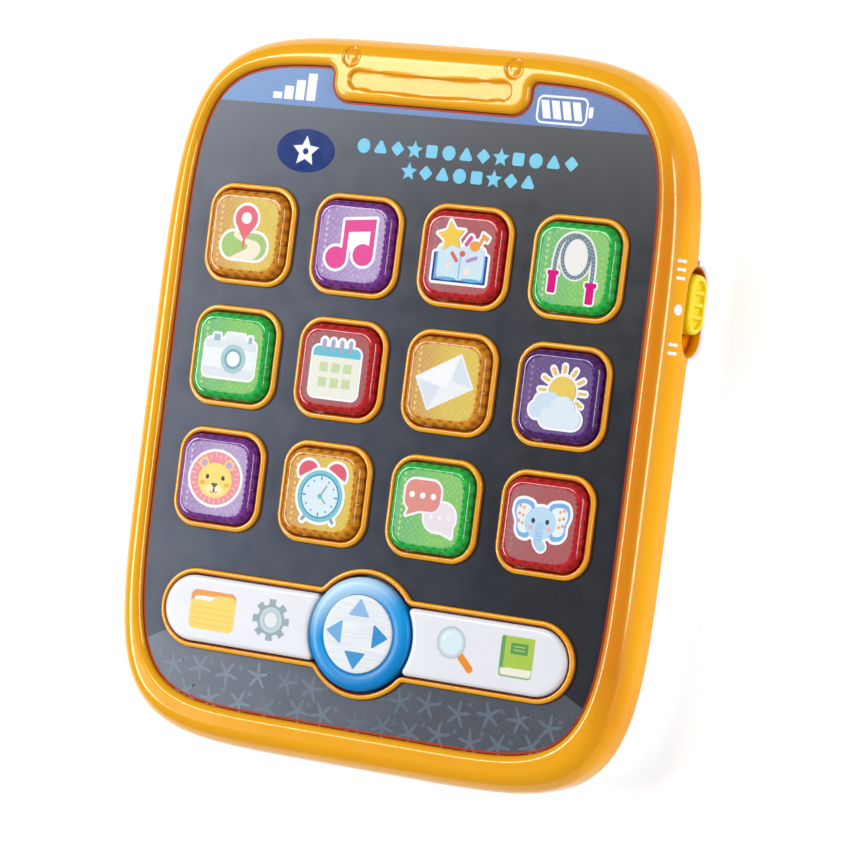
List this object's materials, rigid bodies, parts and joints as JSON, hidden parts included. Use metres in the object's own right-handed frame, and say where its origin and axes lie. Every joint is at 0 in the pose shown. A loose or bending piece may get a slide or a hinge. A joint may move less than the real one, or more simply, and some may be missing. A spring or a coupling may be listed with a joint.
{
  "type": "toy tablet",
  "caption": "Child's toy tablet with square picture buttons, two rocker keys and a round direction pad in a dark face, rolled rim, side sliders and a battery bay in the back.",
  "frame": {"origin": "centre of the outline, on the surface that the back rests on", "axes": "+X to the right, +Y towards the top edge, +Z out of the face, with the tablet lying on its back"},
  "size_m": [0.1866, 0.2278, 0.032],
  "materials": {
    "orange_shell": "moulded, satin gloss",
    "dark_face": "printed sheet, smooth",
    "white_shell": "moulded, fine grain",
    "amber_clear": "clear tinted, prismatic underside",
    "lilac_clear": "clear tinted, prismatic underside",
    "red_clear": "clear tinted, prismatic underside",
    "green_clear": "clear tinted, prismatic underside",
    "violet_clear": "clear tinted, prismatic underside",
    "key_white": "moulded, smooth",
    "pad_blue": "moulded, glossy",
    "pad_pearl": "pearl",
    "slider_yellow": "moulded, satin gloss",
    "silicone": "soft, translucent",
    "circuit_board": "solder mask",
    "steel": "zinc plated",
    "black_plastic": "moulded",
    "led_white": "lens",
    "speaker_paper": "pulp",
    "magnet": "zinc plated",
    "cell_wrap": "shrink wrap",
    "brass_insert": "turned",
    "wire_skin": "extruded"
  },
  "bodies": {
    "case": {"front_housing": "orange_shell", "faceplate": "dark_face", "rear_cover": "white_shell", "dpad_post": "white_shell", "language_switch": "steel", "volume_switch": "steel", "keypad_sheet": "silicone", "contact_domes": "silicone", "main_board": "circuit_board", "board_screws": "steel", "button_leds": "led_white", "sound_chip": "black_plastic", "board_parts": "black_plastic", "speaker_frame": "steel", "speaker_cone": "speaker_paper", "speaker_magnet": "magnet", "speaker_ring": "white_shell", "speaker_screws": "steel", "batteries": "cell_wrap", "battery_springs": "steel", "battery_plates": "steel", "door_insert": "brass_insert", "housing_screws": "steel", "speaker_wires": "wire_skin", "battery_wires": "wire_skin"},
    "map_button": {"map_button": "amber_clear"},
    "music_button": {"music_button": "lilac_clear"},
    "story_button": {"story_button": "red_clear"},
    "rope_button": {"rope_button": "green_clear"},
    "camera_button": {"camera_button": "green_clear"},
    "calendar_button": {"calendar_button": "red_clear"},
    "mail_button": {"mail_button": "amber_clear"},
    "weather_button": {"weather_button": "violet_clear"},
    "lion_button": {"lion_button": "lilac_clear"},
    "alarm_button": {"alarm_button": "amber_clear"},
    "chat_button": {"chat_button": "green_clear"},
    "elephant_button": {"elephant_button": "red_clear"},
    "left_key": {"left_key": "key_white"},
    "right_key": {"right_key": "key_white"},
    "dpad_gimbal": {"dpad_pivot_ball": "steel"},
    "dpad": {"dpad_ring": "pad_blue", "dpad_disc": "pad_pearl"},
    "language_slider": {"language_slider": "slider_yellow", "language_switch_lever": "black_plastic"},
    "volume_slider": {"volume_slider": "slider_yellow", "volume_switch_lever": "black_plastic"},
    "battery_door": {"battery_door": "white_shell", "door_screw": "steel"}
  },
  "joints": [
    {"name": "map_press", "type": "slide", "parent": "case", "child": "map_button", "axis": [0, 0, -1], "range_m": [0, 0.0016], "stiffness_N_per_m": 800, "deforming": ["contact_domes"]},
    {"name": "music_press", "type": "slide", "parent": "case", "child": "music_button", "axis": [0, 0, -1], "range_m": [0, 0.0016], "stiffness_N_per_m": 800},
    {"name": "story_press", "type": "slide", "parent": "case", "child": "story_button", "axis": [0, 0, -1], "range_m": [0, 0.0016], "stiffness_N_per_m": 800},
    {"name": "rope_press", "type": "slide", "parent": "case", "child": "rope_button", "axis": [0, 0, -1], "range_m": [0, 0.0016], "stiffness_N_per_m": 800},
    {"name": "camera_press", "type": "slide", "parent": "case", "child": "camera_button", "axis": [0, 0, -1], "range_m": [0, 0.0016], "stiffness_N_per_m": 800},
    {"name": "calendar_press", "type": "slide", "parent": "case", "child": "calendar_button", "axis": [0, 0, -1], "range_m": [0, 0.0016], "stiffness_N_per_m": 800},
    {"name": "mail_press", "type": "slide", "parent": "case", "child": "mail_button", "axis": [0, 0, -1], "range_m": [0, 0.0016], "stiffness_N_per_m": 800},
    {"name": "weather_press", "type": "slide", "parent": "case", "child": "weather_button", "axis": [0, 0, -1], "range_m": [0, 0.0016], "stiffness_N_per_m": 800},
    {"name": "lion_press", "type": "slide", "parent": "case", "child": "lion_button", "axis": [0, 0, -1], "range_m": [0, 0.0016], "stiffness_N_per_m": 800},
    {"name": "alarm_press", "type": "slide", "parent": "case", "child": "alarm_button", "axis": [0, 0, -1], "range_m": [0, 0.0016], "stiffness_N_per_m": 800},
    {"name": "chat_press", "type": "slide", "parent": "case", "child": "chat_button", "axis": [0, 0, -1], "range_m": [0, 0.0016], "stiffness_N_per_m": 800},
    {"name": "elephant_press", "type": "slide", "parent": "case", "child": "elephant_button", "axis": [0, 0, -1], "range_m": [0, 0.0016], "stiffness_N_per_m": 800},
    {"name": "left_key_rock", "type": "hinge", "parent": "case", "child": "left_key", "pos_m": [-0.045, -0.0713, 0.021], "axis": [0, 1, 0], "range_deg": [-1.8, 1.8], "stiffness_Nm_per_rad": 0.8},
    {"name": "right_key_rock", "type": "hinge", "parent": "case", "child": "right_key", "pos_m": [0.045, -0.0713, 0.021], "axis": [0, 1, 0], "range_deg": [-1.8, 1.8], "stiffness_Nm_per_rad": 0.8},
    {"name": "dpad_tilt_x", "type": "hinge", "parent": "case", "child": "dpad_gimbal", "pos_m": [0, -0.0713, 0.0235], "axis": [1, 0, 0], "range_deg": [-2.8, 2.8], "stiffness_Nm_per_rad": 0.4},
    {"name": "dpad_tilt_y", "type": "hinge", "parent": "dpad_gimbal", "child": "dpad", "pos_m": [0, -0.0713, 0.0235], "axis": [0, 1, 0], "range_deg": [-2.8, 2.8], "stiffness_Nm_per_rad": 0.4},
    {"name": "language_slide", "type": "slide", "parent": "case", "child": "language_slider", "axis": [0, -1, 0], "range_m": [0, 0.006]},
    {"name": "volume_slide", "type": "slide", "parent": "case", "child": "volume_slider", "axis": [0, -1, 0], "range_m": [0, 0.006]},
    {"name": "battery_door_lift", "type": "slide", "parent": "case", "child": "battery_door", "axis": [0, 0, -1], "range_m": [0, 0.015]}
  ]
}
